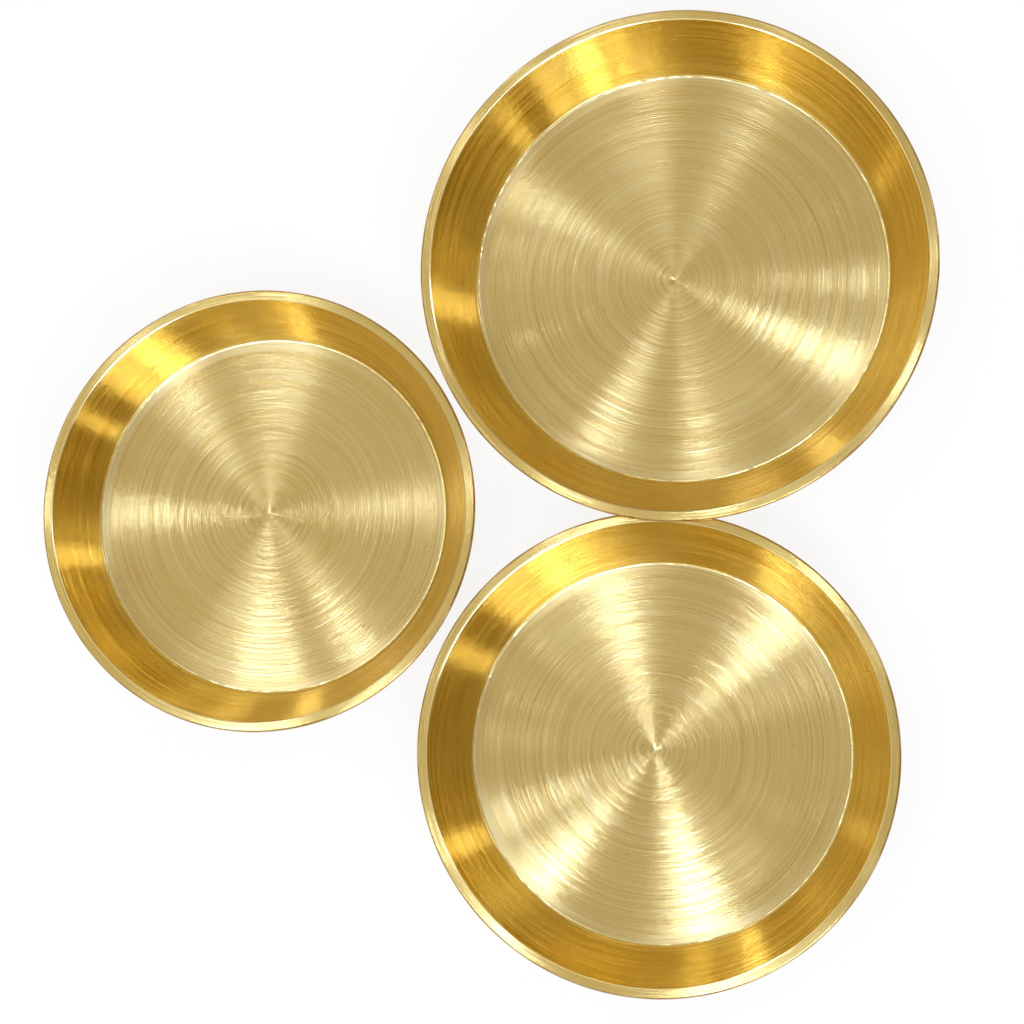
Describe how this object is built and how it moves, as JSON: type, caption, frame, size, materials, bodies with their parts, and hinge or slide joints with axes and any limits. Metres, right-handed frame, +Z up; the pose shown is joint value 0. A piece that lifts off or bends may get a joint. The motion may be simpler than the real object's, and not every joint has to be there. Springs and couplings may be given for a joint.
{
  "type": "thali plate set",
  "caption": "Graduated round brass thali plates: flat brushed floors, straight flared polished walls and flat folded rims, the largest rim tucked over its neighbour.",
  "frame": {"origin": "on the table, under the middle of the set's bounding box", "axes": "+Z up, +Y from the medium plate towards the large one, along the set's longest side, +X away from the small plate"},
  "size_m": [0.5327, 0.569, 0.044],
  "materials": {
    "brass": "floor and rim faced with fine round turning lines, wall polished to a satin shine"
  },
  "bodies": {
    "small": {"small_plate": "brass"},
    "medium": {"medium_plate": "brass"},
    "large": {"large_plate": "brass"}
  },
  "joints": [
    {"name": "small_lift", "type": "slide", "parent": "medium", "child": "small", "axis": [0, 0, 1], "range_m": [0, 0.1]},
    {"name": "large_lift", "type": "slide", "parent": "medium", "child": "large", "axis": [0, 0, 1], "range_m": [0, 0.1]}
  ]
}
